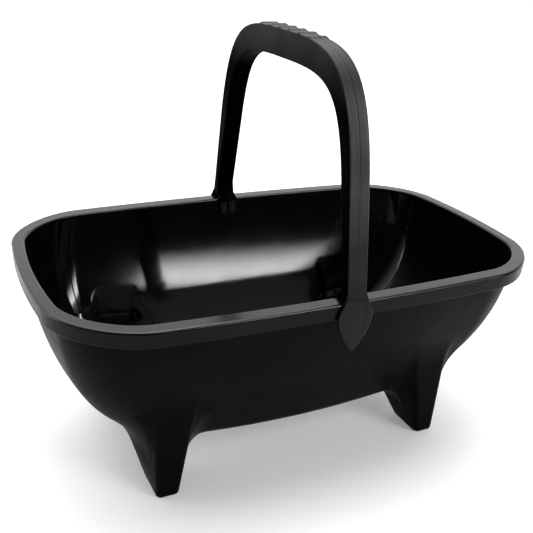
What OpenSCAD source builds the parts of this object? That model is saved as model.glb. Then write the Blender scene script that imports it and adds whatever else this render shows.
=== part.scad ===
// Carrying tub on four short legs, with a clip-on bail handle.
// Millimetres, +Z up, origin on the ground under the middle of the tub.
// +X runs along the tub's length and -Y is its front.

/* [Tub] */
// Overall length over the rim
rim_length = 480; // [440:2:520]
// Overall width over the rim
rim_width = 288; // [276:2:300]
// Height of the rim's top above the ground
rim_height = 195; // [186:1:204]
// Wall thickness of the moulding
wall = 3; // [2.5:0.1:3.5]
// Height of the bowl's underside near its ends
bowl_clearance = 43.5; // [41:0.5:48]
// How far the underside hangs lower at mid length
bowl_sag = 6; // [3:0.5:7]
// Slope of the long walls from upright just below the rim, in degrees
wall_draft = 12; // [10:0.5:14]
// Slope of the long walls from upright lower down, in degrees
low_draft = 24.5; // [22:0.5:26]

/* [Rim] */
// Radius of the rim's corners
corner_radius = 66; // [58:1:70]
// How far each end bows outward beyond its corners
end_bow = 14.5; // [10:0.5:18]
// How far each long side bows outward beyond its corners
side_bow = 9; // [5:1:11]
// Width of the rim's top at the ends
rim_end_width = 11.5; // [10:0.5:13]
// Width of the rim's top along the sides
rim_side_width = 14.5; // [13:0.5:16]
// Depth of the apron that hangs from the rim
apron_depth = 14; // [12:0.5:18]
// Radius of the rim's outer edge
rim_edge_radius = 2.4; // [1.6:0.1:2.8]

/* [Legs] */
// Length of one foot, along the tub
foot_length = 21.5; // [19:0.5:25]
// Width of one foot, across the tub
foot_width = 39.5; // [35:0.5:43]
// Distance over the feet's outer edges, along the tub
feet_span_x = 300; // [290:1:308]
// Distance over the feet's outer edges, across the tub
feet_span_y = 190; // [184:1:194]
// Radius of a foot's corners
foot_corner = 5; // [4:0.5:6]

/* [Handle] */
// Overall height to the top of the grip
handle_height = 394; // [380:1:410]
// Width of the strap, along the tub
strap_width = 19; // [17:0.5:22]
// Thickness of an arm where it leaves the rim
arm_thickness = 12; // [11:0.5:13]
// Depth of the grip at its middle, without the ridges
grip_depth = 25; // [23:0.5:28]
// How far along the rim the handle is clipped, from the middle
handle_place = 3.5; // [-8:0.5:8]
// Number of finger ridges
ridge_count = 6; // [2:2:6]
// Distance between finger ridges
ridge_pitch = 18.4; // [16:0.2:19]
// How far a finger ridge stands up
ridge_height = 1.6; // [1:0.1:2]

/* [Clip] */
// Thickness of the outer clip plate
plate_thickness = 2.7; // [2.2:0.1:3.2]
// Greatest width of the outer clip plate
plate_width = 33; // [29:0.5:37]
// How far the outer clip plate reaches below the rim's top
plate_drop = 44; // [40:0.5:48]
// How far the snap tongue reaches below the rim's top
tongue_drop = 20; // [16:0.5:22]
// Thickness of the snap tongue
tongue_thickness = 2.2; // [1.8:0.1:2.6]
// Slit between the tongue's two prongs
tongue_slit = 1.6; // [1.2:0.1:2.4]
// Free gap between the clip and the rim
clip_gap = 0.35; // [0.3:0.05:0.5]

/* [Hidden] */
satin_black = [0.1, 0.1, 0.105];
gloss_black = [0.05, 0.05, 0.055];

half_length = rim_length / 2;
half_width = rim_width / 2;
rim_plate = 3;                        // thickness of the rim's top plate
bowl_top = rim_height - rim_plate;    // the bowl's wall ends under that plate
bowl_length = half_length - rim_end_width + wall;
bowl_width = half_width - rim_side_width + wall;
floor_radius = 16;                    // between the long walls and the underside
turn_depth = 84;                      // the long walls' slope grows down to this depth
floor_corner = 14;                    // plan radius of the underside's corners
end_draw = 0.95 * bowl_length;        // how far the ends draw in on the way down
end_shape = [1.9, 4.8];               // exponents of the ends' curve
levels = 18;                          // rings from the bowl's top to its underside
side_steps = 5;                       // points along half a side of an outline
corner_steps = 7;                     // points round a corner of an outline

// ---- Outlines in plan ------------------------------------------------------------------

// A quarter of a rounded rectangle, from the +X axis round to the +Y axis.
function quarter(l, w, r) = concat(
    [for (i = [0:side_steps - 1]) [l, (w - r) * i / side_steps]],
    [for (i = [0:corner_steps]) let (a = 90 * i / corner_steps)
        [l - r + r * cos(a), w - r + r * sin(a)]],
    [for (i = [1:side_steps]) [(l - r) * (1 - i / side_steps), w]]);

// A point of that quarter bowed outward: most at mid side, not at all at the corner.
function bow_point(p, l, w, bow_l, bow_w) = [
    p[0] + bow_l * (1 - pow(p[1] / w, 2)) * pow(p[0] / l, 2),
    p[1] + bow_w * (1 - pow(p[0] / l, 2)) * pow(p[1] / w, 2)];

// A closed outline, anticlockwise, of half length l and half width w at its mid sides.
function outline(l, w, r, bow_l, bow_w) =
    let (q = [for (p = quarter(l - bow_l, w - bow_w, r))
                 bow_point(p, l - bow_l, w - bow_w, bow_l, bow_w)],
         m = len(q) - 1)
    concat([for (i = [0:m - 1]) q[i]],
           [for (i = [m:-1:1]) [-q[i][0], q[i][1]]],
           [for (i = [0:m - 1]) -q[i]],
           [for (i = [m:-1:1]) [q[i][0], -q[i][1]]]);

ring_size = 4 * (2 * side_steps + corner_steps);

// ---- The bowl's shape ------------------------------------------------------------------

// Share of the depth at ring i: rings crowd together towards the underside.
function depth_share(i) = 1 - pow(1 - i / levels, 1.9);

// Outer half length of the bowl at a share s of its depth.
function length_at(s) =
    bowl_length - end_draw * (1 - pow(1 - pow(s, end_shape[0]), 1 / end_shape[1]));

// How far a long wall has come in at a depth below its top: its slope grows, then stays.
function come_in(depth) =
    let (first = tan(wall_draft), last = tan(low_draft))
    depth < turn_depth ? first * depth + (last - first) * depth * depth / (2 * turn_depth)
                       : (first + last) / 2 * turn_depth + last * (depth - turn_depth);

// Outer half width at height z: a hollowed wall, then an arc into the underside.
function width_at(z) =
    let (bend = bowl_clearance + floor_radius * (1 - sin(low_draft)),
         arc_y = bowl_width - come_in(bowl_top - bend) - floor_radius * cos(low_draft),
         rise = bowl_clearance + floor_radius - z)
    z > bend ? bowl_width - come_in(bowl_top - z)
             : arc_y + sqrt(max(0, floor_radius * floor_radius - rise * rise));

// One ring of the bowl. skin is 0 on the outer face and the wall's thickness on the inner
// face, which moves sideways on the upright walls and upwards on the floor.
function bowl_ring(i, skin) =
    let (s = depth_share(i),
         z = bowl_top - (bowl_top - bowl_clearance) * s,
         aside = skin * (1 - 0.6 * pow(s, 4)),
         l = length_at(s) - aside,
         w = width_at(z) - aside,
         bow_l = end_bow * l / bowl_length,
         bow_w = side_bow * w / bowl_width,
         top_r = corner_radius - (rim_end_width + rim_side_width) / 2 + wall,
         r = min(top_r + (floor_corner - top_r) * s - aside,
                 min(l - bow_l, w - bow_w) - 1))
    [for (p = outline(l, w, r, bow_l, bow_w))
        [p[0], p[1], z + skin * pow(s, 1.5) - sag(p[0], s)]];

// How far the bowl hangs at x: most at mid length, nothing above the feet or at the rim.
function sag(x, s) = bowl_sag * pow(s, 3) * max(0, 1 - pow(x / (feet_span_x / 2), 2));

// The floor inside the last ring: a half size ring and a middle point.
function floor_points(skin) = concat(
    [for (p = bowl_ring(levels, skin)) [p[0] / 2, p[1] / 2, p[2]]],
    [[0, 0, bowl_clearance + skin - bowl_sag]]);

function skin_points(skin) = concat(
    [for (i = [0:levels]) each bowl_ring(i, skin)], floor_points(skin));

skin_count = (levels + 2) * ring_size + 1;

// Faces of one skin from its first ring down to its middle point, seen from outside.
function skin_faces(first) = concat(
    [for (i = [0:levels], j = [0:ring_size - 1])
        let (a = first + i * ring_size + j,
             b = first + i * ring_size + (j + 1) % ring_size)
        each [[a, b, b + ring_size], [a, b + ring_size, a + ring_size]]],
    [for (j = [0:ring_size - 1])
        let (a = first + (levels + 1) * ring_size + j,
             b = first + (levels + 1) * ring_size + (j + 1) % ring_size)
        [a, b, first + skin_count - 1]]);

function flipped(faces) = [for (f = faces) [f[2], f[1], f[0]]];

// The bowl as a solid block, for trimming what meets its outside.
module bowl_block() {
    polyhedron(points = skin_points(0),
               faces = concat(skin_faces(0), [[for (j = [ring_size - 1:-1:0]) j]]));
}

module bowl_shell() {
    top_edge = [for (j = [0:ring_size - 1])
        let (k = (j + 1) % ring_size)
        each [[j, j + skin_count, k + skin_count], [j, k + skin_count, k]]];
    polyhedron(points = concat(skin_points(0), skin_points(wall)),
               faces = concat(skin_faces(0), flipped(skin_faces(skin_count)), top_edge));
}

// ---- Legs ------------------------------------------------------------------------------

leg_reach = 100;                      // height at which the tapered leg is well inside the bowl
foot_x = [feet_span_x / 2 - foot_length, feet_span_x / 2];
foot_y = [feet_span_y / 2 - foot_width, feet_span_y / 2];
// How far each corner has spread at that height, as [inward x, outward x, y].
front_spread = [17, 3.5, 1];          // the edge near the tub's long side stays almost upright
back_spread = [50, 28, 27];           // the edge near the tub's middle spreads into the floor

// A round post from the foot's corner to its place inside the bowl, drawn in by skin.
module leg_corner(x, y, x_top, y_top, skin) {
    r = foot_corner - skin / 2;
    for (end = [[x, y, skin], [x_top, y_top, leg_reach - 1]])
        translate(end) cylinder(r = r, h = 1, $fn = 24);
}

// The tapered leg of the +X, +Y quarter. skin is 0 outside and the wall's thickness inside.
module leg_block(skin) {
    in = foot_corner + skin / 2;
    hull() {
        leg_corner(foot_x[0] + in, foot_y[1] - in, foot_x[0] - front_spread[0] + in,
                   foot_y[1] + front_spread[2] - in, skin);
        leg_corner(foot_x[1] - in, foot_y[1] - in, foot_x[1] + front_spread[1] - in,
                   foot_y[1] + front_spread[2] - in, skin);
        leg_corner(foot_x[0] + in, foot_y[0] + in, foot_x[0] - back_spread[0] + in,
                   foot_y[0] - back_spread[2] + in, skin);
        leg_corner(foot_x[1] - in, foot_y[0] + in, foot_x[1] + back_spread[1] - in,
                   foot_y[0] - back_spread[2] + in, skin);
    }
}

// Moves a +X, +Y quarter part to the quarter with signs sx and sy.
module to_quarter(sx, sy) {
    mirror([sx < 0 ? 1 : 0, 0, 0]) mirror([0, sy < 0 ? 1 : 0, 0]) children();
}

module leg(sx, sy) {
    color(satin_black) to_quarter(sx, sy) difference() {
        leg_block(0);
        leg_block(wall);
        bowl_block();
    }
}

// ---- Tub -------------------------------------------------------------------------------

module bowl() {
    color(gloss_black) difference() {
        bowl_shell();
        for (sx = [-1, 1], sy = [-1, 1]) to_quarter(sx, sy) leg_block(wall);
    }
}

// The rim's section as [inset at the ends, inset at the sides, height], anticlockwise.
apron_taper = 0.6;
apron_wall = 2.6;
rim_section = concat(
    [for (a = [0:30:90]) let (d = rim_edge_radius * (1 - sin(a)))
        [d, d, rim_height - rim_edge_radius * (1 - cos(a))]],
    [[apron_taper, apron_taper, rim_height - apron_depth],
     [apron_taper + apron_wall, apron_taper + apron_wall, rim_height - apron_depth],
     [apron_taper + apron_wall, apron_taper + apron_wall, bowl_top],
     [rim_end_width, rim_side_width, bowl_top],
     [rim_end_width, rim_side_width, rim_height - 1],
     [rim_end_width - 1, rim_side_width - 1, rim_height]]);

module rim() {
    n = len(rim_section);
    points = [for (d = rim_section)
        each [for (p = outline(half_length - d[0], half_width - d[1],
                               corner_radius - (d[0] + d[1]) / 2, end_bow, side_bow))
            [p[0], p[1], d[2]]]];
    faces = [for (i = [0:n - 1], j = [0:ring_size - 1])
        let (k = (i + 1) % n, m = (j + 1) % ring_size,
             a = i * ring_size + j, b = i * ring_size + m,
             c = k * ring_size + m, d = k * ring_size + j)
        each [[a, b, c], [a, c, d]]];
    color(satin_black) polyhedron(points = points, faces = faces);
}

// ---- Handle ----------------------------------------------------------------------------

plate_face = half_width + clip_gap + plate_thickness;   // outer face of the strap at the rim
saddle_z = rim_height + clip_gap;                       // underside of the strap's saddle
rise = handle_height - rim_height;
shoulder_share = 0.46;                // of the rise, where the straight part of an arm ends
shoulder_z = rim_height + shoulder_share * rise;
grip_top = handle_height - ridge_height;
strap_flare = 12;                     // height above the rim's top where the strap flares

inner_base = plate_face - arm_thickness;
inner_top = grip_top - grip_depth;

// Control points of a bend, as [y, z]: an arm that leaves the rim at base has leant in by lean
// at the shoulder, runs on in that direction for a share of the rise, and turns into the grip.
function bend(base, lean, run, level, top) = [
    [base - lean, shoulder_z],
    [base - lean * (1 + run / shoulder_share), shoulder_z + run * rise],
    [level * base, top], [0, top]];

outer_bend = bend(plate_face, 14, 0.535, 0.54, grip_top);
inner_bend = bend(inner_base, 18, 0.4, 0.58, inner_top);
bend_steps = 14;

// A point at t on the cubic curve with control points c.
function curve(c, t) = pow(1 - t, 3) * c[0] + 3 * pow(1 - t, 2) * t * c[1]
    + 3 * (1 - t) * t * t * c[2] + pow(t, 3) * c[3];

function bend_points(c) = [for (i = [0:bend_steps]) curve(c, i / bend_steps)];

// The share t at which a bend's curve has come in to y, by halving.
function share_at(c, y, lo = 0, hi = 1, n = 20) =
    n == 0 ? (lo + hi) / 2
    : let (mid = (lo + hi) / 2)
      curve(c, mid)[0] > y ? share_at(c, y, mid, hi, n - 1) : share_at(c, y, lo, mid, n - 1);

function mirrored(points) = [for (i = [len(points) - 2:-1:0]) [-points[i][0], points[i][1]]];

// Draws a [y, z] outline as a slab of the given width across X.
module across(width) {
    rotate([90, 0, 90]) translate([0, 0, -width / 2]) linear_extrude(width) children();
}

// Puts a handle part where the handle is clipped, on the +Y side or, with side -1, the -Y side.
module clipped(side = 1) {
    color(satin_black) translate([handle_place, 0, 0]) mirror([0, side < 0 ? 1 : 0, 0])
        children();
}

module bend_outline() {
    outer = bend_points(outer_bend);
    inner = bend_points(inner_bend);
    whole_outer = concat(outer, mirrored(outer));
    whole_inner = concat(inner, mirrored(inner));
    polygon(concat(whole_outer, [for (i = [len(whole_inner) - 1:-1:0]) whole_inner[i]]));
}

module handle_grip() {
    ridge_radius = 6;
    clipped() union() {
        across(strap_width) bend_outline();
        for (i = [0:ridge_count - 1]) {
            y = (i - (ridge_count - 1) / 2) * ridge_pitch;
            z = curve(outer_bend, share_at(outer_bend, abs(y)))[1];
            translate([0, y, z + ridge_height - ridge_radius])
                rotate([0, 90, 0]) cylinder(r = ridge_radius, h = strap_width, center = true,
                                            $fn = 48);
        }
    }
}

// Half of the clip plate's outline as [x, z], from the strap down to its tip.
plate_half = plate_width / 2;
plate_widest_z = rim_height - 12;
flare_curve = [[strap_width / 2, rim_height + strap_flare], [strap_width / 2, rim_height],
               [plate_half - 1, rim_height - 2], [plate_half, plate_widest_z]];
tip_curve = [[plate_half, plate_widest_z], [plate_half, plate_widest_z - 10],
             [plate_half / 2, rim_height - plate_drop + 8], [0.8, rim_height - plate_drop]];
plate_side = concat([for (i = [0:9]) curve(flare_curve, i / 10)],
                    [for (i = [0:12]) curve(tip_curve, i / 12)]);

// The clip plate's slab, standing against the rim's apron on the +Y side.
module plate_slab() {
    left_side = [for (i = [len(plate_side) - 1:-1:0]) [-plate_side[i][0], plate_side[i][1]]];
    translate([0, plate_face, 0]) rotate([90, 0, 0]) linear_extrude(plate_thickness)
        polygon(concat(plate_side, left_side));
}

tongue_face = half_width - rim_side_width - clip_gap;   // outer face of the tongue
saddle_inner = tongue_face - tongue_thickness / cos(wall_draft);

// An arm of the +Y side: the tapered strap, the saddle over the rim and the plate's root.
module arm() {
    saddle_height = 5;
    across(strap_width) polygon([
        [plate_face, saddle_z], outer_bend[0], inner_bend[0],
        [inner_base - 2, rim_height + 14], [saddle_inner + 3, saddle_z + saddle_height],
        [saddle_inner, saddle_z + saddle_height / 2], [saddle_inner, saddle_z]]);
    intersection() {
        plate_slab();
        translate([-plate_width, 0, saddle_z]) cube([2 * plate_width, 2 * half_width, rise]);
    }
}

module handle_arm_rear() { clipped() arm(); }
module handle_arm_front() { clipped(-1) arm(); }

module plate() {
    difference() {
        plate_slab();
        translate([-plate_width, 0, saddle_z]) cube([2 * plate_width, 2 * half_width, rise]);
    }
}

module clip_plate_rear() { clipped() plate(); }
module clip_plate_front() { clipped(-1) plate(); }

// The tongue of the +Y side: two pointed prongs that lie along the bowl's sloping wall.
module tongue() {
    prong = (strap_width - tongue_slit) / 2;
    length = tongue_drop / cos(wall_draft);
    tip = 4;
    root = 2.5;
    outline = [[tongue_slit / 2, -root], [tongue_slit / 2 + prong, -root],
               [tongue_slit / 2 + prong, -length + tip], [tongue_slit / 2 + prong / 2, -length],
               [tongue_slit / 2, -length + tip]];
    intersection() {
        translate([0, tongue_face, saddle_z]) rotate([90 - wall_draft, 0, 0])
            linear_extrude(tongue_thickness) union() {
                translate([-strap_width / 2, -root]) square([strap_width, 2 * root]);
                polygon(outline);
                mirror([1, 0]) polygon(outline);
            }
        translate([-strap_width, 0, 0]) cube([2 * strap_width, 2 * half_width, saddle_z]);
    }
}

module snap_tongue_rear() { clipped() tongue(); }
module snap_tongue_front() { clipped(-1) tongue(); }

module leg_front_left() { leg(-1, -1); }
module leg_front_right() { leg(1, -1); }
module leg_rear_left() { leg(-1, 1); }
module leg_rear_right() { leg(1, 1); }

bowl();
rim();
leg_front_left();
leg_front_right();
leg_rear_left();
leg_rear_right();
handle_grip();
handle_arm_front();
handle_arm_rear();
clip_plate_front();
clip_plate_rear();
snap_tongue_front();
snap_tongue_rear();
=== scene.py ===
import math

import bmesh
import bpy
import numpy as np
from mathutils import Matrix, Vector


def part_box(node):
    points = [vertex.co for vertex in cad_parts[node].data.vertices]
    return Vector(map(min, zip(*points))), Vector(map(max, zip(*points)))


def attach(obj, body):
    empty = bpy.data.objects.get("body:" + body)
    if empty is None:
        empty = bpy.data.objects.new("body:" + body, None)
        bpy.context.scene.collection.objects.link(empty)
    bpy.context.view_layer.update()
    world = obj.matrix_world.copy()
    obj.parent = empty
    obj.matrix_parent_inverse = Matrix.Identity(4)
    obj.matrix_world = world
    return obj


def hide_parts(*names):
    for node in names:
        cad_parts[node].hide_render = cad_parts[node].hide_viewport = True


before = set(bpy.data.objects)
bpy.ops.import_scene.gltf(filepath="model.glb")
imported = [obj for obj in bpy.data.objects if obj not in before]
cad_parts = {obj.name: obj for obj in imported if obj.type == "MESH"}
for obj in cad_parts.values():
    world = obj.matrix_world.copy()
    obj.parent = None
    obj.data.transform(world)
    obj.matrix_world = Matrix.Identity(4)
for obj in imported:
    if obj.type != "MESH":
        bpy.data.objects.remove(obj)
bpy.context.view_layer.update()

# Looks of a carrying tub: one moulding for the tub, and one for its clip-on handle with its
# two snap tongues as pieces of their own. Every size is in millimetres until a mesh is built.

# ---- Sizes from the frame, and the shape of the bowl and legs ----

MM = 0.001


def box_mm(node):
    """A node's lowest and highest corner, in millimetres."""
    low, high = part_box(node)
    return np.array(low) / MM, np.array(high) / MM


rim_low, rim_high = box_mm("rim")
bowl_low, bowl_high = box_mm("bowl")
grip_low, grip_high = box_mm("handle_grip")
arm_low = box_mm("handle_arm_rear")[0]
plate_low, plate_high = box_mm("clip_plate_rear")
tongue_high = box_mm("snap_tongue_rear")[1]

WALL = 3.0
HALF_LENGTH, HALF_WIDTH, RIM_HEIGHT = rim_high
BOWL_LENGTH, BOWL_WIDTH, BOWL_TOP = bowl_high
RIM_END_WIDTH = HALF_LENGTH - BOWL_LENGTH + WALL
RIM_SIDE_WIDTH = HALF_WIDTH - BOWL_WIDTH + WALL
APRON_LOW = rim_low[2]
BOWL_SAG = 6.0                  # how far the underside hangs lower at mid length
BOWL_CLEARANCE = bowl_low[2] + BOWL_SAG
WALL_DRAFT = math.radians(12.0)  # slope of the long walls below the rim
LOW_DRAFT = math.radians(24.5)  # and further down
TURN_DEPTH = 84.0               # the depth at which the slope stops growing
CORNER_RADIUS = 66.0            # of the rim's corners in plan
END_BOW = 14.5                  # how far the rim's ends bulge in plan
SIDE_BOW = 9.0                  # and its long sides
FLOOR_RADIUS = 16.0             # between the long walls and the underside
FLOOR_CORNER = 14.0             # of the underside's corners in plan
END_DRAW = 0.95 * BOWL_LENGTH   # how far the ends come in towards the underside
END_SHAPE = (1.9, 4.8)          # powers that bend the ends between wall and underside
LOW_THINNING = 0.6              # share of the wall's sideways thickness lost lower down
BOW_LIMIT = 1.1                 # how far past a side's end its bow is followed, as a share
FEET_SPAN = 150.0               # from the middle to a foot's outer edge, along the tub
FOOT_X = (128.5, FEET_SPAN)     # a foot's extent along the tub
FOOT_Y = (55.5, 95.0)           # and across it
FOOT_CORNER = 5.0
LEG_REACH = 100.0               # a height up to which a leg's corners spread
LEG_SPREAD = ((-50, -27), (28, -27), (3.5, 1), (-17, 1))  # of each corner, at that height
SOLE_ROUNDING = 3.0
LEG_FILLET = 19.0               # reach of the fillet between a leg and the bowl
LEG_FRONT_FILLET = 8.0          # where the leg runs on from the bowl's long wall
FRONT_FILLET_Y = (FOOT_Y[1] - 6, FOOT_Y[1] + 1)  # over which one turns into the other
FLOOR_HALVINGS, RING_HALVINGS = 30, 40  # rounds of two searches by halving


# ---- Shapes as distance fields ----

def smooth_min(a, b, reach):
    """The lower of two fields, with their meeting line filled over that reach."""
    overlap = np.maximum(reach - np.abs(a - b), 0) / reach
    return np.minimum(a, b) - overlap * overlap * reach / 4


def smooth_max(a, b, reach):
    """The higher of two fields, with their meeting line rounded over that reach."""
    return -smooth_min(-a, -b, reach)


def smooth_step(value, start, end):
    """0 up to the start and 1 from the end, with a smooth rise between them."""
    t = np.clip((value - start) / (end - start), 0, 1)
    return t * t * (3 - 2 * t)


def plan_distance(x, y, length, width, radius, bow_length, bow_width):
    """How far a plan point lies outside a rounded rectangle whose sides bow outward."""
    x, y = np.abs(x), np.abs(y)
    flat_length, flat_width = length - bow_length, width - bow_width
    flat_x, flat_y = x, y
    for _ in range(5):
        along = np.minimum(flat_x / flat_length, BOW_LIMIT)
        across = np.minimum(flat_y / flat_width, BOW_LIMIT)
        flat_x = x - bow_length * (1 - across ** 2) * along ** 2
        flat_y = y - bow_width * (1 - along ** 2) * across ** 2
    out_x = flat_x - flat_length + radius
    out_y = flat_y - flat_width + radius
    return (np.hypot(np.maximum(out_x, 0), np.maximum(out_y, 0))
            + np.minimum(np.maximum(out_x, out_y), 0) - radius)


def come_in(depth):
    """How far a long wall has come in at a depth below its top."""
    first, last = math.tan(WALL_DRAFT), math.tan(LOW_DRAFT)
    turning = np.minimum(depth, TURN_DEPTH)
    return (first * turning + (last - first) * turning * turning / (2 * TURN_DEPTH)
            + last * np.maximum(depth - TURN_DEPTH, 0))


def bowl_section(share, skin):
    """The bowl's outline at a share of its depth, on its outer face or skin deep inside it."""
    height = BOWL_TOP - (BOWL_TOP - BOWL_CLEARANCE) * share
    share = np.maximum(share, 0)
    aside = skin * (1 - LOW_THINNING * share ** 4)
    reach = 1 - (1 - np.minimum(share, 1) ** END_SHAPE[0]) ** (1 / END_SHAPE[1])
    length = BOWL_LENGTH - END_DRAW * reach - aside
    bend = BOWL_CLEARANCE + FLOOR_RADIUS * (1 - math.sin(LOW_DRAFT))
    wall_width = BOWL_WIDTH - come_in(BOWL_TOP - height)
    arc_middle = (BOWL_WIDTH - come_in(BOWL_TOP - bend)
                  - FLOOR_RADIUS * math.cos(LOW_DRAFT))
    drop = BOWL_CLEARANCE + FLOOR_RADIUS - height
    arc_width = arc_middle + np.sqrt(np.maximum(FLOOR_RADIUS ** 2 - drop ** 2, 0))
    width = np.where(height > bend, wall_width, arc_width) - aside
    bow_length = END_BOW * length / BOWL_LENGTH
    bow_width = SIDE_BOW * width / BOWL_WIDTH
    top_radius = CORNER_RADIUS - (RIM_END_WIDTH + RIM_SIDE_WIDTH) / 2 + WALL
    radius = np.minimum(top_radius + (FLOOR_CORNER - top_radius) * share - aside,
                        np.minimum(length - bow_length, width - bow_width) - 1)
    return length, width, radius, bow_length, bow_width


def bowl_lift(x, share, skin):
    """How far a point of that section stands above its nominal height."""
    hang = BOWL_SAG * share ** 3 * np.maximum(1 - (x / FEET_SPAN) ** 2, 0)
    return skin * share ** 1.5 - hang


def wall_distance(x, y, z, skin):
    """The bowl's upright walls as a field, negative on the bowl's inner side."""
    share = (BOWL_TOP - z) / (BOWL_TOP - BOWL_CLEARANCE)
    for _ in range(4):
        nominal = z - bowl_lift(x, np.clip(share, 0, 1), skin)
        share = (BOWL_TOP - nominal) / (BOWL_TOP - BOWL_CLEARANCE)
    return plan_distance(x, y, *bowl_section(share, skin))


def floor_height(x, y, skin):
    """Height of the bowl's face over a plan point, found by halving."""
    low, high = np.zeros(np.broadcast(x, y).shape), np.ones(np.broadcast(x, y).shape)
    for _ in range(FLOOR_HALVINGS):
        share = (low + high) / 2
        outside = plan_distance(x, y, *bowl_section(share, skin)) > 0
        low, high = np.where(outside, low, share), np.where(outside, share, high)
    share = (low + high) / 2
    height = BOWL_TOP - (BOWL_TOP - BOWL_CLEARANCE) * share + bowl_lift(x, share, skin)
    past = np.maximum(plan_distance(x, y, *bowl_section(0 * share, skin)), 0)
    return height + past / math.tan(WALL_DRAFT)


class Table:
    """A function of two coordinates, even in both, kept on a grid and read smoothly."""

    def __init__(self, values, low, step):
        self.values, self.low, self.step = values, low, step

    def __call__(self, a, b):
        result = 0
        a, b = np.broadcast_arrays(a, b)
        place_a = (a - self.low[0]) / self.step
        place_b = (b - self.low[1]) / self.step
        cell_a, cell_b = np.floor(place_a).astype(int), np.floor(place_b).astype(int)
        weights_a, weights_b = cubic_weights(place_a - cell_a), cubic_weights(place_b - cell_b)
        for i, weight_a in enumerate(weights_a):
            row = np.clip(np.abs(cell_a + i - 1), 0, self.values.shape[0] - 1)
            for j, weight_b in enumerate(weights_b):
                column = np.clip(np.abs(cell_b + j - 1), 0, self.values.shape[1] - 1)
                result = result + weight_a * weight_b * self.values[row, column]
        return result


def cubic_weights(t):
    """Shares of the four grid values round a place, for a smooth curve through them."""
    return (((-t + 2) * t - 1) * t / 2, ((3 * t - 5) * t * t + 2) / 2,
            ((-3 * t + 4) * t + 1) * t / 2, (t - 1) * t * t / 2)


def floor_tables(skin):
    """The floor's height and the length of its slope vector, as tables."""
    step = 1.0
    x = np.arange(0, BOWL_LENGTH + 6, step)[:, None]
    y = np.arange(0, BOWL_WIDTH + 6, step)[None, :]
    height = floor_height(x, y, skin)
    slope_x, slope_y = np.gradient(height, step)
    steep = np.sqrt(1 + slope_x ** 2 + slope_y ** 2)
    return Table(height, (0, 0), step), Table(steep, (0, 0), step)


def segment_distance(px, py, ax, ay, bx, by):
    """Distance from points to a line segment, and which side of it they lie on."""
    ex, ey, wx, wy = bx - ax, by - ay, px - ax, py - ay
    t = np.clip((wx * ex + wy * ey) / (ex * ex + ey * ey), 0, 1)
    return np.hypot(wx - ex * t, wy - ey * t), ex * wy - ey * wx


def leg_distance(x, y, z, skin):
    """One tapered leg of the +X, +Y quarter, skin deep inside its outer face."""
    inset = FOOT_CORNER + skin / 2
    feet = [(FOOT_X[0] + inset, FOOT_Y[0] + inset), (FOOT_X[1] - inset, FOOT_Y[0] + inset),
            (FOOT_X[1] - inset, FOOT_Y[1] - inset), (FOOT_X[0] + inset, FOOT_Y[1] - inset)]
    share = (z - skin) / (LEG_REACH - skin)
    corners = [(foot[0] + spread[0] * share, foot[1] + spread[1] * share)
               for foot, spread in zip(feet, LEG_SPREAD)]
    nearest, inside = np.inf, True
    for i in range(4):
        distance, side = segment_distance(x, y, *corners[i], *corners[(i + 1) % 4])
        nearest = np.minimum(nearest, distance)
        inside = inside & (side > 0)
    around = np.where(inside, -nearest, nearest) - (FOOT_CORNER - skin / 2)
    return smooth_max(around, skin - z, SOLE_ROUNDING)


def tub_field(x, y, z, skin, tables):
    """The tub below the rim: the bowl and its legs, as one smooth field."""
    x, y = np.abs(x), np.abs(y)
    height, steep = tables
    bowl = (height(x, y) - z) / steep(x, y)
    reach = (LEG_FILLET + skin
             + (LEG_FRONT_FILLET - LEG_FILLET) * smooth_step(y, *FRONT_FILLET_Y))
    return smooth_min(bowl, leg_distance(x, y, z, skin), reach)


# ---- Meshes from fields ----

RELAX_SHARE = 0.6               # of the way to its neighbours' middle, in one round

def surface_net(field, low, step):
    """Quads round the zero level of a field kept on a grid, facing its positive side."""
    inside = field < 0
    shape = np.array(field.shape)
    cells = shape - 1
    corners = [(i, j, k) for i in (0, 1) for j in (0, 1) for k in (0, 1)]
    part = [slice(None, -1), slice(1, None)]
    count = sum(inside[part[i], part[j], part[k]].astype(np.int8) for i, j, k in corners)
    active = (count > 0) & (count < 8)
    base = np.argwhere(active)
    total, crossings = np.zeros((len(base), 3)), np.zeros(len(base))
    for axis in range(3):
        for corner in corners:
            if corner[axis]:
                continue
            a = base + corner
            b = a.copy()
            b[:, axis] += 1
            value_a, value_b = field[tuple(a.T)], field[tuple(b.T)]
            crossed = (value_a < 0) != (value_b < 0)
            share = np.where(crossed, value_a / np.where(crossed, value_a - value_b, 1), 0)
            point = a.astype(float)
            point[:, axis] += share
            total[crossed] += point[crossed]
            crossings += crossed
    points = np.array(low) + step * total / crossings[:, None]
    index = np.full(cells, -1)
    index[active] = np.arange(len(base))
    quads = []
    for axis in range(3):
        u, v = (axis + 1) % 3, (axis + 2) % 3
        ends = [slice(None)] * 3, [slice(None)] * 3
        ends[0][axis], ends[1][axis] = part
        changed = inside[tuple(ends[0])] != inside[tuple(ends[1])]
        edge = np.argwhere(changed)
        edge = edge[(edge[:, u] > 0) & (edge[:, u] < cells[u])
                    & (edge[:, v] > 0) & (edge[:, v] < cells[v])]
        out = inside[tuple(edge.T)]
        ring = []
        for back_u, back_v in ((1, 1), (0, 1), (0, 0), (1, 0)):
            cell = edge.copy()
            cell[:, u] -= back_u
            cell[:, v] -= back_v
            ring.append(index[tuple(cell.T)])
        ring = np.stack(ring, axis=1)
        quads.append(np.where(out[:, None], ring, ring[:, ::-1]))
    return points, np.concatenate(quads)


def slopes(field, points, step=0.4):
    """A field's gradient at points."""
    result = np.zeros_like(points)
    for axis in range(3):
        shift = np.zeros(3)
        shift[axis] = step
        result[:, axis] = (field(*(points + shift).T) - field(*(points - shift).T)) / (2 * step)
    return result


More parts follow.
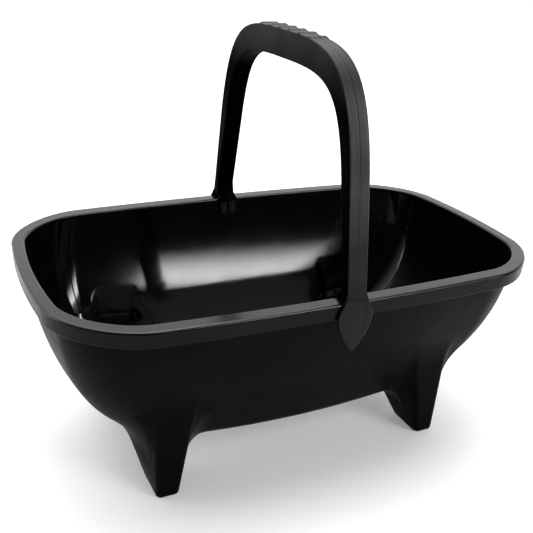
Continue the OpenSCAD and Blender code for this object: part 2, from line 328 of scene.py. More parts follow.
def settle(field, points, rounds=3):
    """Moves points onto the zero level of a field."""
    for _ in range(rounds):
        gradient = slopes(field, points)
        points = points - (field(*points.T) / (gradient ** 2).sum(1))[:, None] * gradient
    return points


def relax(field, points, quads, rounds=4):
    """Evens out a net: each point moves to its neighbours' middle, then back on the surface."""
    pairs = np.concatenate([quads[:, [i, (i + 1) % 4]] for i in range(4)])
    degree = np.bincount(pairs.ravel(), minlength=len(points))[:, None]
    for _ in range(rounds):
        total = np.zeros_like(points)
        for axis in range(3):
            total[:, axis] = (np.bincount(pairs[:, 0], points[pairs[:, 1], axis], len(points))
                              + np.bincount(pairs[:, 1], points[pairs[:, 0], axis],
                                            len(points)))
        points = settle(field, points + RELAX_SHARE * (total / degree - points), 1)
    return settle(field, points, 2)


def unit(vectors):
    return vectors / np.linalg.norm(vectors, axis=1)[:, None]


def field_net(field, low, high, step):
    """A net of a field that is even in its first two coordinates, given in a box."""
    axes = [np.arange(a, b + step / 2, step) for a, b in zip(low, high)]
    x, y, z = axes[0][:, None, None], axes[1][None, :, None], axes[2][None, None, :]
    return surface_net(field(x, y, z), low, step)


def editable(points, quads):
    """A net as a mesh that can be cut."""
    mesh = bmesh.new()
    made = [mesh.verts.new(p) for p in points]
    for quad in quads:
        mesh.faces.new([made[i] for i in quad])
    return mesh


def split(mesh, place, normal, clear_outer=False):
    """Splits a mesh's faces where they cross a plane, and may drop all that is past it."""
    bmesh.ops.bisect_plane(mesh, geom=mesh.verts[:] + mesh.edges[:] + mesh.faces[:],
                           plane_co=place, plane_no=normal, clear_outer=clear_outer)


def points_and_faces(mesh):
    """A cut mesh as points and faces of point numbers."""
    mesh.verts.index_update()
    return (np.array([v.co for v in mesh.verts]),
            [[v.index for v in face.verts] for face in mesh.faces])


# ---- The tub's mesh ----

TUB_STEP = 2.6                  # spacing of the net below the cut
SHORTEST_EDGE = 0.35 * TUB_STEP  # round the cut; points closer than this are joined
ON_PLANE = 1e-4                 # how near the cut a point counts as on it
NET_INSET = (6.0, 18.0)         # of the net's box from the rim's, along and across
CUT_HEIGHT = 130.0              # above it the tub is built of rings
WALL_RINGS = 14                 # from the cut up to the rim
EDGE_RADIUS = 2.4               # of the rim's outer edge
INNER_EDGE_RADIUS = 2.2
APRON_WALL = 2.6
APRON_TAPER = 0.6               # how far the apron's foot stands in from the rim's edge
APRON_EDGE_RADIUS = 0.7
APRON_TOP = RIM_HEIGHT - 2      # below it, on the way down outside, the rim is apron
INNER_WALL_TOP = BOWL_TOP - 1   # the last ring of the inner wall
UNDER_CORNER = 1.6              # where the bowl's outer face meets the rim's underside
INSIDE, RIM_TOP, OUTSIDE, APRON = range(4)  # the tub's material slots


def trimmed(points, quads, height):
    """Cuts a net off at a height. Returns points, faces and the cut's points in order."""
    mesh = editable(points, quads)
    split(mesh, (0, 0, height), (0, 0, 1), clear_outer=True)
    edge = [v for v in mesh.verts if abs(v.co.z - height) < ON_PLANE]
    bmesh.ops.remove_doubles(mesh, verts=edge, dist=SHORTEST_EDGE)
    points, faces = points_and_faces(mesh)
    rim = np.array([v.index for v in mesh.verts if abs(v.co.z - height) < ON_PLANE])
    mesh.free()
    return points, faces, rim[np.argsort(np.arctan2(points[rim, 1], points[rim, 0]))]


def ring_points(angle, height, distance):
    """The points at those angles round the middle where a plan distance is nought."""
    low, high = np.zeros(len(angle)), np.full(len(angle), 2 * HALF_LENGTH)
    for _ in range(RING_HALVINGS):
        middle = (low + high) / 2
        outside = distance(middle * np.cos(angle), middle * np.sin(angle)) > 0
        low, high = np.where(outside, low, middle), np.where(outside, middle, high)
    return np.stack([low * np.cos(angle), low * np.sin(angle), np.full(len(angle), height)],
                    axis=1)


def wall_ring(angle, height, skin):
    """A ring of the bowl's wall and its normals, which point out of the plastic."""
    def field(x, y, z):
        return wall_distance(x, y, z, skin)
    points = ring_points(angle, height, lambda x, y: field(x, y, height))
    return points, unit(slopes(field, points)) * (-1 if skin else 1)


def rim_ring(angle, end_inset, side_inset, height, outward, upward):
    """A ring of the rim's section, whose normal leans outward and upward by those shares."""
    radius = CORNER_RADIUS - (end_inset + side_inset) / 2

    def field(x, y, z=0):
        return plan_distance(x, y, HALF_LENGTH - end_inset, HALF_WIDTH - side_inset, radius,
                             END_BOW, SIDE_BOW)
    points = ring_points(angle, height, field)
    normals = unit(slopes(field, points)) * outward
    normals[:, 2] = upward
    return points, normals


def rounded(end_inset, side_inset, height, radius, start, end, steps=4):
    """Section points round an edge, whose outward direction turns from start to end degrees.
    The insets and height are those of the arc's centre, and a hollow has a negative radius."""
    result = []
    for i in range(steps + 1):
        a = math.radians(start + (end - start) * i / steps)
        result.append((end_inset - radius * math.cos(a), side_inset - radius * math.cos(a),
                       height + radius * math.sin(a), math.cos(a), math.sin(a)))
    return result


def rim_section():
    """The rim's section from its inner edge over the top and down round the apron."""
    inner, outer, small = INNER_EDGE_RADIUS, EDGE_RADIUS, APRON_EDGE_RADIUS
    apron = APRON_TAPER + APRON_WALL
    section = rounded(RIM_END_WIDTH - inner, RIM_SIDE_WIDTH - inner, RIM_HEIGHT - inner,
                      inner, 180, 90)
    section += rounded(outer, outer, RIM_HEIGHT - outer, outer, 90, 0, 6)
    section += rounded(APRON_TAPER + small, APRON_TAPER + small, APRON_LOW + small,
                       small, 0, -90)
    section += rounded(apron - small, apron - small, APRON_LOW + small, small, -90, -180)
    section += rounded(apron + small, apron + small, BOWL_TOP - small, -small, -180, -90, 3)
    section.append((RIM_END_WIDTH - WALL - UNDER_CORNER,
                    RIM_SIDE_WIDTH - WALL - UNDER_CORNER, BOWL_TOP, 0, -1))
    return section


def zip_rings(first, first_angle, second, second_angle):
    """Triangles between two closed rings whose points lie at sorted angles."""
    faces = []
    i = j = 0
    while i < len(first) or j < len(second):
        next_first = first_angle[i + 1] if i + 1 < len(first) else first_angle[0] + 2 * math.pi
        next_second = (second_angle[j + 1] if j + 1 < len(second)
                       else second_angle[0] + 2 * math.pi)
        a, b = first[i % len(first)], second[j % len(second)]
        if j >= len(second) or (i < len(first) and next_first <= next_second):
            i += 1
            faces.append([a, b, first[i % len(first)]])
        else:
            j += 1
            faces.append([a, b, second[j % len(second)]])
    return faces


class Shell:
    """Points, normals and faces of one mesh while it is being built."""

    def __init__(self):
        self.points, self.normals, self.faces, self.slots, self.count = [], [], [], [], 0

    def add_points(self, points, normals):
        start = self.count
        self.points.append(points)
        self.normals.append(normals)
        self.count += len(points)
        return np.arange(start, self.count)

    def add_faces(self, faces, slot):
        self.faces += [list(map(int, face)) for face in faces]
        self.slots += [slot] * len(faces)

    def add_band(self, lower, upper, slot):
        """A band from one ring to the next, facing left of the way from lower to upper."""
        self.add_faces(np.stack([lower, upper, np.roll(upper, -1), np.roll(lower, -1)], 1),
                       slot)

    def build(self, name, materials):
        mesh = bpy.data.meshes.new(name)
        points = np.concatenate(self.points) * MM
        mesh.from_pydata(points.tolist(), [], self.faces)
        for material in materials:
            mesh.materials.append(material)
        mesh.polygons.foreach_set("material_index", self.slots)
        mesh.polygons.foreach_set("use_smooth", [True] * len(self.faces))
        mesh.normals_split_custom_set_from_vertices(np.concatenate(self.normals).tolist())
        made = bpy.data.objects.new(name, mesh)
        bpy.context.scene.collection.objects.link(made)
        return made


def lower_tub(shell, skin, slot):
    """The bowl and legs below the cut, on one face. Returns the cut's ring and its angles."""
    tables = floor_tables(skin)
    side = -1 if skin else 1

    def field(x, y, z):
        return tub_field(x, y, z, skin, tables) * side
    half_x, half_y = HALF_LENGTH - NET_INSET[0], HALF_WIDTH - NET_INSET[1]
    points, quads = field_net(field, (-half_x, -half_y, -TUB_STEP),
                              (half_x, half_y, CUT_HEIGHT + 3 * TUB_STEP), TUB_STEP)
    points = relax(field, points, quads)
    points, faces, ring = trimmed(points, quads, CUT_HEIGHT)
    normals = unit(slopes(field, points))
    index = shell.add_points(points, normals)
    shell.add_faces([index[face] for face in faces], slot)
    return index[ring], np.arctan2(points[ring, 1], points[ring, 0])


def add_wall(shell, ring, angle, top, skin):
    """Rings of the bowl's wall from the cut's ring up to a height. Returns the last one."""
    for height in np.linspace(CUT_HEIGHT, top, WALL_RINGS)[1:]:
        upper = shell.add_points(*wall_ring(angle, height, skin))
        if skin:
            shell.add_band(ring, upper, INSIDE)
        else:
            shell.add_band(upper, ring, OUTSIDE)
        ring = upper
    return ring


def make_tub(gloss, rim_plastic, satin, apron):
    """The whole tub as one closed skin: bowl and legs on both faces, joined over the rim."""
    shell = Shell()
    inner_ring, inner_angle = lower_tub(shell, WALL, INSIDE)
    outer_ring, outer_angle = lower_tub(shell, 0.0, OUTSIDE)
    ring = add_wall(shell, inner_ring, inner_angle, INNER_WALL_TOP, WALL)
    before = RIM_HEIGHT
    for place in rim_section():
        upper = shell.add_points(*rim_ring(inner_angle, *place))
        height = place[2]
        falls = height < min(before, APRON_TOP)
        shell.add_band(ring, upper, APRON if falls else RIM_TOP)
        ring, before = upper, height
    outer_top = add_wall(shell, outer_ring, outer_angle, BOWL_TOP - UNDER_CORNER, 0.0)
    shell.add_faces(zip_rings(ring, inner_angle, outer_top, outer_angle), RIM_TOP)
    return shell.build("tub_moulding", [gloss, rim_plastic, satin, apron])


# ---- The handle's mesh ----

HANDLE_STEP = 1.0               # spacing of its net
NET_MARGIN = 3.0                # between the handle and the sides of the net's box
TABLE_STEP = 0.5
TABLE_MARGIN = 6.0
FAR = 50.0                      # a distance that never counts
HANDLE_PLACE = (grip_low[0] + grip_high[0]) / 2
STRAP_WIDTH = grip_high[0] - grip_low[0]
HANDLE_TOP = grip_high[2]
PLATE_FACE = plate_high[1]
SADDLE_HEIGHT = arm_low[2]
TONGUE_FACE = tongue_high[1]
RIDGE_COUNT, RIDGE_PITCH, RIDGE_HEIGHT, RIDGE_RADIUS = 6, 18.4, 1.6, 6.0
GRIP_DEPTH = 25.0
ARM_THICKNESS = 12.0
STRAP_SINK = 0.4                # how far the strap's foot stays behind the plate's face
STRAP_OUTER_RADIUS = 1.7        # of the strap's long edges, on its outer face
STRAP_INNER_RADIUS = 3.4
RADIUS_TURN = (3, 9)            # depths over which one radius turns into the other
RIDGE_INSET = 0.9               # of the ridges' ends from the strap's sides
RIDGE_EDGE_RADIUS = 1.8
RIDGE_VALLEY = 2.0              # reach of the fillets between ridges
RIDGE_FILLET = 1.2              # and between a ridge and the grip
SHOULDER_SHARE = 0.46           # of the rise, where the straight part of an arm ends
OUTER_LEAN, INNER_LEAN = 14.0, 18.0  # how far the strap's faces have leant in there
OUTER_BEND = (0.535, 0.54)      # how high an arm runs on, and how far out the grip is
INNER_BEND = (0.4, 0.58)        # level, as shares of the rise and the half width
CURVE_STEPS = 40
PLATE_THICKNESS = plate_high[1] - plate_low[1]
PLATE_WIDTH = plate_high[0] - plate_low[0]
PLATE_TOP = RIM_HEIGHT + 12
PLATE_WIDEST = RIM_HEIGHT - 12
PLATE_EDGE_RADIUS = 0.9
PLATE_BEND = 8.0                # half the height over which it turns from upright
PLATE_LEAN_REACH = 22.0         # height over which it then leans with the arm
PLATE_SINK = 1.8                # how far its top runs into the arm
SIDE_INSET = 0.5                # from the strap's side to where its outer face begins
OUTER_SKIN = 2.5                # depth from the outer face that has its material
SIDE_LEAN = (0.75, 0.35)        # how squarely a side faces: beside the plate, above it
STRAP_OUTSIDE, STRAP_PAINTED_SHADE = 0, 1  # the handle's material slots; the second is a darker copy, painted shade


def curve(controls, steps):
    """Points along a cubic curve, both ends included."""
    t = np.linspace(0, 1, steps + 1)[:, None]
    a, b, c, d = (np.array(p, float) for p in controls)
    return (1 - t) ** 3 * a + 3 * (1 - t) ** 2 * t * b + 3 * (1 - t) * t * t * c + t ** 3 * d


def outline_distance(u, v, outline):
    """How far plan points lie outside a closed outline."""
    nearest = np.full(np.broadcast(u, v).shape, np.inf)
    inside = np.zeros(nearest.shape, bool)
    for (au, av), (bu, bv) in zip(outline, np.roll(outline, -1, axis=0)):
        distance, _ = segment_distance(u, v, au, av, bu, bv)
        nearest = np.minimum(nearest, distance)
        if av != bv:
            crosses = ((av > v) != (bv > v)) & (u < au + (v - av) * (bu - au) / (bv - av))
            inside ^= crosses
    return np.where(inside, -nearest, nearest)


def bend(base, lean, run, level, top):
    """One face of the strap from its shoulder to the middle of the grip, as [y, z]."""
    rise = HANDLE_TOP - RIM_HEIGHT
    shoulder = RIM_HEIGHT + SHOULDER_SHARE * rise
    return curve([(base - lean, shoulder),
                  (base - lean * (1 + run / SHOULDER_SHARE), shoulder + run * rise),
                  (level * base, top), (0, top)], CURVE_STEPS)


def strap_outline():
    """The strap from the rim over the grip, as [y, z], and its outer bend. The foot is the
    saddle's inner side, from the arm down to the rim."""
    grip_top = HANDLE_TOP - RIDGE_HEIGHT
    inner_base = PLATE_FACE - ARM_THICKNESS
    outer = bend(PLATE_FACE, OUTER_LEAN, *OUTER_BEND, grip_top)
    inner = bend(inner_base, INNER_LEAN, *INNER_BEND, grip_top - GRIP_DEPTH)
    saddle_inner = arm_low[1]
    foot = [(inner_base - 1.5, RIM_HEIGHT + 16), (inner_base - 4, SADDLE_HEIGHT + 6),
            (saddle_inner + 5, SADDLE_HEIGHT + 2.6), (saddle_inner + 1.5, SADDLE_HEIGHT + 1.4),
            (saddle_inner, SADDLE_HEIGHT)]
    half = np.concatenate([[(PLATE_FACE - STRAP_SINK, SADDLE_HEIGHT)], outer])
    half_inner = np.concatenate([inner[::-1], foot])
    mirror = np.array([-1, 1])
    return np.concatenate([half, (half * mirror)[-2::-1], (half_inner * mirror)[::-1],
                           half_inner[1:]]), outer


def strap_tables():
    """The strap's outline and its finger ridges as tables over y and z, and how far a place
    lies from the strap's outer face towards its inner face."""
    outline, outer = strap_outline()
    low = plate_low[2] - TABLE_MARGIN
    y = np.arange(0, PLATE_FACE + TABLE_MARGIN, TABLE_STEP)[:, None]
    z = np.arange(low, HANDLE_TOP + NET_MARGIN + 1, TABLE_STEP)[None, :]
    ridges = np.full(np.broadcast(y, z).shape, FAR)
    for i in range(RIDGE_COUNT // 2):
        ridge_y = (i + 0.5) * RIDGE_PITCH
        top = np.interp(-ridge_y, -outer[:, 0], outer[:, 1])
        ridge = np.hypot(y - ridge_y, z - (top + RIDGE_HEIGHT - RIDGE_RADIUS)) - RIDGE_RADIUS
        ridges = smooth_min(ridges, ridge, RIDGE_VALLEY)
    whole_outer = np.concatenate([[(PLATE_FACE, SADDLE_HEIGHT)], outer])
    from_outer = np.full(ridges.shape, np.inf)
    for a, b in zip(whole_outer, whole_outer[1:]):
        from_outer = np.minimum(from_outer, segment_distance(y, z, *a, *b)[0])
    fields = (outline_distance(y, z, outline), ridges, from_outer)
    return [Table(values, (0, low), TABLE_STEP) for values in fields]


def plate_table():
    """The clip plate's outline as a table over x and z."""
    half, low = PLATE_WIDTH / 2, plate_low[2]
    flare = curve([(STRAP_WIDTH / 2, PLATE_TOP), (STRAP_WIDTH / 2, RIM_HEIGHT),
                   (half - 1, RIM_HEIGHT - 2), (half, PLATE_WIDEST)], 16)
    tip = curve([(half, PLATE_WIDEST), (half, PLATE_WIDEST - 10), (half / 2, low + 8),
                 (0.8, low)], 24)
    side = np.concatenate([flare, tip[1:]])
    outline = np.concatenate([side, (side * np.array([-1, 1]))[::-1]])
    start = low - TABLE_MARGIN
    x = np.arange(0, half + TABLE_MARGIN, TABLE_STEP)[:, None]
    z = np.arange(start, PLATE_TOP + 8, TABLE_STEP)[None, :]
    return Table(outline_distance(x, z, outline), (0, start), TABLE_STEP)


def slab(plan, across, edge_radius):
    """A field from an outline's distance and the distance outside a slab's two faces."""
    a, b = plan + edge_radius, across + edge_radius
    return (np.minimum(np.maximum(a, b), 0) + np.hypot(np.maximum(a, 0), np.maximum(b, 0))
            - edge_radius)


def creased(points, quads, side):
    """Splits a net's faces where they cross x = side or x = -side."""
    mesh = editable(points, quads)
    for x in (-side, side):
        split(mesh, (x, 0, 0), (1, 0, 0))
    points, faces = points_and_faces(mesh)
    mesh.free()
    return points, faces


def make_handle(outside, inside):
    """The whole handle as one closed skin. Its sides and inner face take a darker, duller copy of
    its plastic as painted shade.
    """
    strap, ridges, from_outer = strap_tables()
    plate = plate_table()
    lean = OUTER_LEAN / (SHOULDER_SHARE * (HANDLE_TOP - RIM_HEIGHT))

    def field(x, y, z):
        x, y = np.abs(x), np.abs(y)
        depth_share = smooth_step(from_outer(y, z), *RADIUS_TURN)
        edge = STRAP_OUTER_RADIUS + (STRAP_INNER_RADIUS - STRAP_OUTER_RADIUS) * depth_share
        body = slab(strap(y, z), x - STRAP_WIDTH / 2, edge)
        ridge = slab(ridges(y, z), x - STRAP_WIDTH / 2 + RIDGE_INSET, RIDGE_EDGE_RADIUS)
        body = smooth_min(body, ridge, RIDGE_FILLET)
        above = z - SADDLE_HEIGHT
        turning = np.clip(above + PLATE_BEND, 0, 2 * PLATE_BEND) ** 2 / (4 * PLATE_BEND)
        rise = turning + np.clip(above - PLATE_BEND, 0, PLATE_LEAN_REACH)
        depth = PLATE_FACE - lean * rise - y
        sunk = PLATE_SINK * smooth_step(z, RIM_HEIGHT + 2, PLATE_TOP)
        face = np.abs(depth - sunk - PLATE_THICKNESS / 2) - PLATE_THICKNESS / 2
        wing = slab(plate(x, np.minimum(z, PLATE_TOP + 8)), face, PLATE_EDGE_RADIUS)
        wing = np.where(z > PLATE_TOP + 10, FAR, wing)
        return np.minimum(body, wing)
    half_x, half_y = PLATE_WIDTH / 2 + NET_MARGIN, PLATE_FACE + NET_MARGIN
    points, quads = field_net(field, (-half_x, -half_y, plate_low[2] - NET_MARGIN),
                              (half_x, half_y, HANDLE_TOP + NET_MARGIN), HANDLE_STEP)
    points = relax(field, points, quads)
    points, faces = creased(points, quads, STRAP_WIDTH / 2 - SIDE_INSET)
    normals = unit(slopes(field, points, 0.2))
    shell = Shell()
    shell.add_points(points + (HANDLE_PLACE, 0, 0), normals)
    middle = np.array([points[face].mean(axis=0) for face in faces])
    lean_out = np.array([abs(normals[face, 0].mean()) for face in faces])
    across, along, height = np.abs(middle[:, 0]), np.abs(middle[:, 1]), middle[:, 2]
    # Faces that take the painted shade: the strap's sides, and its inner face.
    deep = from_outer(along, height) > OUTER_SKIN
    sideways = ((across > STRAP_WIDTH / 2 - SIDE_INSET)
                & (lean_out > np.where(height < PLATE_TOP, *SIDE_LEAN)))
    behind = along < PLATE_FACE - PLATE_THICKNESS - 2
    painted_shade_faces = sideways | (deep & (behind | (height > PLATE_TOP + 2)))
    for slot, wanted in ((STRAP_OUTSIDE, ~painted_shade_faces), (STRAP_PAINTED_SHADE, painted_shade_faces)):
        shell.add_faces([face for face, take in zip(faces, wanted) if take], slot)
    return shell.build("handle_moulding", [outside, inside])


# ---- The snap tongues ----

TONGUE_STEP = 0.4               # spacing of its net
TONGUE_MARGIN = 1.2             # between a tongue and the sides of the net's box
TONGUE_THICKNESS = 2.2
TONGUE_SLIT = 1.6               # between its two prongs
TONGUE_DROP = 20.0              # how far it reaches down from the saddle
TONGUE_EDGE_RADIUS = 0.5
TIP_LENGTH = 4.6                # over which the prongs get thinner
TIP_THINNING = 0.55


def make_tongue(name, side, material):
    """Two barbed prongs that lie along the bowl's sloping inner wall. side is -1 at the front."""
    length = TONGUE_DROP / math.cos(WALL_DRAFT)
    prong = (STRAP_WIDTH - TONGUE_SLIT) / 2
    inner, outer = TONGUE_SLIT / 2, TONGUE_SLIT / 2 + prong
    outline = np.array([(-1, -2.5), (outer, -2.5), (outer, 0), (outer - 0.7, 2),
                        (outer - 0.7, length - 5.5), (outer, length - 4),
                        ((inner + outer) / 2, length), (inner, length - 4), (inner, 1.5),
                        (-1, 1.5)])
    down = np.array([0, -math.sin(WALL_DRAFT), -math.cos(WALL_DRAFT)])
    inward = np.array([0, -math.cos(WALL_DRAFT), math.sin(WALL_DRAFT)])

    def field(u, v, w):
        plan = outline_distance(np.abs(u), v, outline)
        bevel = TIP_THINNING * smooth_step(v, length - TIP_LENGTH, length)
        depth = np.abs(w - TONGUE_THICKNESS / 2) - TONGUE_THICKNESS / 2 * (1 - bevel)
        return slab(plan, depth, TONGUE_EDGE_RADIUS)
    half = STRAP_WIDTH / 2 + TONGUE_MARGIN
    points, quads = field_net(field, (-half, -3.5, -TONGUE_MARGIN),
                              (half, length + TONGUE_MARGIN,
                               TONGUE_THICKNESS + TONGUE_MARGIN), TONGUE_STEP)
    points = relax(field, points, quads, 2)
    normals = unit(slopes(field, points, 0.1))
    axes = np.array([[1.0, 0, 0], down, inward])
    place = np.array([HANDLE_PLACE, TONGUE_FACE, SADDLE_HEIGHT])
    mirror = np.array([1, side, 1])
    shell = Shell()
    shell.add_points((points @ axes + place) * mirror, (normals @ axes) * mirror)
    facing = np.linalg.det(axes) * side
    shell.add_faces(quads if facing > 0 else quads[:, ::-1], 0)
    return shell.build(name, [material])


# ---- Camera, in metres from here on ----

CAMERA_AZIMUTH = math.radians(-26.54)
CAMERA_ELEVATION = math.radians(23.74)
CAMERA_ROLL = math.radians(3.42)
CAMERA_PLACE = Vector((-0.3194, -0.6190, 0.4725))
CAMERA_LENS, CAMERA_SENSOR = 52.23, 36
CAMERA_SHIFT = (0.0047, 0.0003)


def make_camera():
    """The camera stands where the photograph's perspective puts it."""
    back = Vector((math.sin(CAMERA_AZIMUTH) * math.cos(CAMERA_ELEVATION),
                   -math.cos(CAMERA_AZIMUTH) * math.cos(CAMERA_ELEVATION),
                   math.sin(CAMERA_ELEVATION)))
    right = Vector((math.cos(CAMERA_AZIMUTH), math.sin(CAMERA_AZIMUTH), 0))
    up = back.cross(right)
    rolled_right = right * math.cos(CAMERA_ROLL) + up * math.sin(CAMERA_ROLL)
    rolled_up = up * math.cos(CAMERA_ROLL) - right * math.sin(CAMERA_ROLL)
    data = bpy.data.cameras.new("camera")
    data.lens = CAMERA_LENS
    data.sensor_width = CAMERA_SENSOR
    data.shift_x, data.shift_y = CAMERA_SHIFT
    camera = bpy.data.objects.new("camera", data)
    bpy.context.scene.collection.objects.link(camera)
    camera.matrix_world = (Matrix.Translation(CAMERA_PLACE)
                           @ Matrix((rolled_right, rolled_up, back)).transposed().to_4x4())
    bpy.context.scene.camera = camera


# ---- Floor and lights ----

FLOOR_HALF, FLOOR_HEIGHT = 12, -0.0003  # its height is just below the feet
FLOOR_LOOK = (("Base Color", (0.86, 0.86, 0.86, 1)), ("Roughness", 0.9),
              ("Specular IOR Level", 0.1), ("Emission Color", (1, 1, 1, 1)),
              ("Emission Strength", 0.25))      # its own light keeps the shadow pale
WORLD_BRIGHT, WORLD_DARK = 1.25, 0.02
WORLD_LEAN = (0, 1, 0.6)        # the way towards the bright side
WORLD_TURN = (-0.1, 0.8)        # how far that way it turns from dark to bright


def make_floor():
    """A plain pale floor that gives off a little light of its own."""
    half, height = FLOOR_HALF, FLOOR_HEIGHT
    mesh = bpy.data.meshes.new("floor")
    mesh.from_pydata([(-half, -half, height), (half, -half, height), (half, half, height),
                      (-half, half, height)], [], [(0, 1, 2, 3)])
    floor = bpy.data.objects.new("floor", mesh)
    bpy.context.scene.collection.objects.link(floor)
    material = bpy.data.materials.new("floor_white")
    material.use_nodes = True
    shader = material.node_tree.nodes["Principled BSDF"]
    for socket, value in FLOOR_LOOK:
        shader.inputs[socket].default_value = value
    mesh.materials.append(material)


def map_range(nodes, low, high, at_low=0, at_high=1, interpolation="LINEAR"):
    """A node that carries the range low to high over to the range at_low to at_high."""
    ramp = nodes.new("ShaderNodeMapRange")
    ramp.interpolation_type = interpolation
    for socket, number in zip(("From Min", "From Max", "To Min", "To Max"),
                              (low, high, at_low, at_high)):
        ramp.inputs[socket].default_value = number
    return ramp


def make_light(name, place, target, size, radiance, fade=0.0):
    """A soft box that faces a target. Its lower edge fades over that share of its height."""
    data = bpy.data.lights.new(name, "AREA")
    data.shape = "RECTANGLE"
    data.size, data.size_y = size
    data.energy = radiance * math.pi * size[0] * size[1]
    light = bpy.data.objects.new(name, data)
    bpy.context.scene.collection.objects.link(light)
    light.location = place
    light.rotation_mode = "QUATERNION"
    light.rotation_quaternion = (Vector(target) - Vector(place)).to_track_quat("-Z", "Y")
    if fade:
        data.use_nodes = True
        nodes, links = data.node_tree.nodes, data.node_tree.links
        where = nodes.new("ShaderNodeNewGeometry")
        axes = nodes.new("ShaderNodeSeparateXYZ")
        ramp = map_range(nodes, 0, fade, interpolation="SMOOTHSTEP")
        links.new(where.outputs["Parametric"], axes.inputs[0])
        links.new(axes.outputs["Y"], ramp.inputs["Value"])
        links.new(ramp.outputs["Result"], nodes["Emission"].inputs["Strength"])


def make_world():
    """Bright behind the tub and above it, dark on the camera's side of the room."""
    world = bpy.data.worlds.new("studio")
    bpy.context.scene.world = world
    world.use_nodes = True
    nodes, links = world.node_tree.nodes, world.node_tree.links
    where = nodes.new("ShaderNodeTexCoord")
    lean = nodes.new("ShaderNodeVectorMath")
    lean.operation = "DOT_PRODUCT"
    lean.inputs[1].default_value = WORLD_LEAN
    ramp = map_range(nodes, *WORLD_TURN, WORLD_DARK, WORLD_BRIGHT, "SMOOTHSTEP")
    links.new(where.outputs["Generated"], lean.inputs[0])
    links.new(lean.outputs["Value"], ramp.inputs["Value"])
    nodes["Background"].inputs["Color"].default_value = (1, 1, 1, 1)
    links.new(ramp.outputs["Result"], nodes["Background"].inputs["Strength"])


# ---- Materials ----

DUST = (0.06, 0.057, 0.052)
DUST_ROUGHNESS = 0.3            # added where there is dust
SPECK_NOISE = (0.78, 0.84)      # noise values from which a speck of dust shows
FILM_HEIGHT = (0.055, 0.125)    # the film in the tub ends between these heights
FILM_SPAN = (0.08, 0.11)        # and these distances from the middle, along the tub
CLOUD_NOISE = (0.35, 0.65)      # noise values of the darkest and palest cloud
CLOUD_SHADES = (0.6, 1.5)       # and how dark and pale, as shares of the colour
PATCH_NOISE = (0.3, 0.7)        # noise values of the tub's glossiest and dullest patch
PATCH_SHARES = (0.88, 1.14)     # and how rough, as shares of the roughness
FLOW_NOISE = (0.35, 0.65)       # the same for the handle's flow marks
FLOW_SHARES = (0.75, 1.25)
PATCHY_HIGHLIGHT_NOISE = (0.34, 0.72)    # noise values from which the painted highlight gives way, in patches, to the base colour
HAIRLINE = (0.0004, 0.0004, 0.0004)
HAIRLINE_EDGE = (0.0001, 0.0005)  # its edge, in metres from the middle of the strap
HAIRLINE_SHARE = 0.6            # of the hairline's colour at its darkest
HAIRLINE_ROUGHNESS = 0.25       # added in the hairline
HANDLE_GRAIN, FLOW_DEPTH, MARK_DEPTH, HAIRLINE_DEPTH = 3e-5, 1.4e-4, 1e-4, 2e-4


class Material:
    """A principled material and short ways to add nodes to it."""

    def __init__(self, name):
        self.material = bpy.data.materials.new(name)
        self.material.use_nodes = True
        self.nodes = self.material.node_tree.nodes
        self.links = self.material.node_tree.links
        self.shader = self.nodes["Principled BSDF"]
        self.place = self.nodes.new("ShaderNodeTexCoord").outputs["Object"]

    def link(self, source, target):
        self.links.new(source, target)

    def noise(self, scale, detail=2.0, stretch=(1, 1, 1)):
        """Noise with about this many spots in a metre, drawn out where its stretch is small."""
        mapping = self.nodes.new("ShaderNodeMapping")
        mapping.inputs["Scale"].default_value = stretch
        self.link(self.place, mapping.inputs["Vector"])
        noise = self.nodes.new("ShaderNodeTexNoise")
        noise.inputs["Scale"].default_value = scale
        noise.inputs["Detail"].default_value = detail
        self.link(mapping.outputs["Vector"], noise.inputs["Vector"])
        return noise.outputs["Fac"]

    def spread(self, value, low, high, at_low, at_high):
        """Carry the range low to high over to the range at_low to at_high."""
        ramp = map_range(self.nodes, low, high, at_low, at_high)
        self.link(value, ramp.inputs["Value"])
        return ramp.outputs["Result"]

    def math(self, operation, first, second):
        node = self.nodes.new("ShaderNodeMath")
        node.operation = operation
        for value, socket in zip((first, second), node.inputs):
            if isinstance(value, (int, float)):
                socket.default_value = value
            else:
                self.link(value, socket)
        return node.outputs[0]

    def mix(self, share, first, second):
        """A colour between two colours."""
        node = self.nodes.new("ShaderNodeMix")
        node.data_type = "RGBA"
        self.link(share, node.inputs["Factor"])
        for colour, socket in ((first, node.inputs["A"]), (second, node.inputs["B"])):
            if isinstance(colour, tuple):
                socket.default_value = (*colour, 1)
            else:
                self.link(colour, socket)
        return node.outputs["Result"]

    def bump(self, height, depth, under=None):
        """A relief of that depth in metres, on top of another one."""
        node = self.nodes.new("ShaderNodeBump")
        node.inputs["Distance"].default_value = depth
        self.link(height, node.inputs["Height"])
        if under is not None:
            self.link(under, node.inputs["Normal"])
        return node.outputs["Normal"]

    def finished(self, colour, roughness, normal):
        for name, value in (("Base Color", colour), ("Roughness", roughness),
                            ("Normal", normal)):
            self.link(value, self.shader.inputs[name])
        return self.material


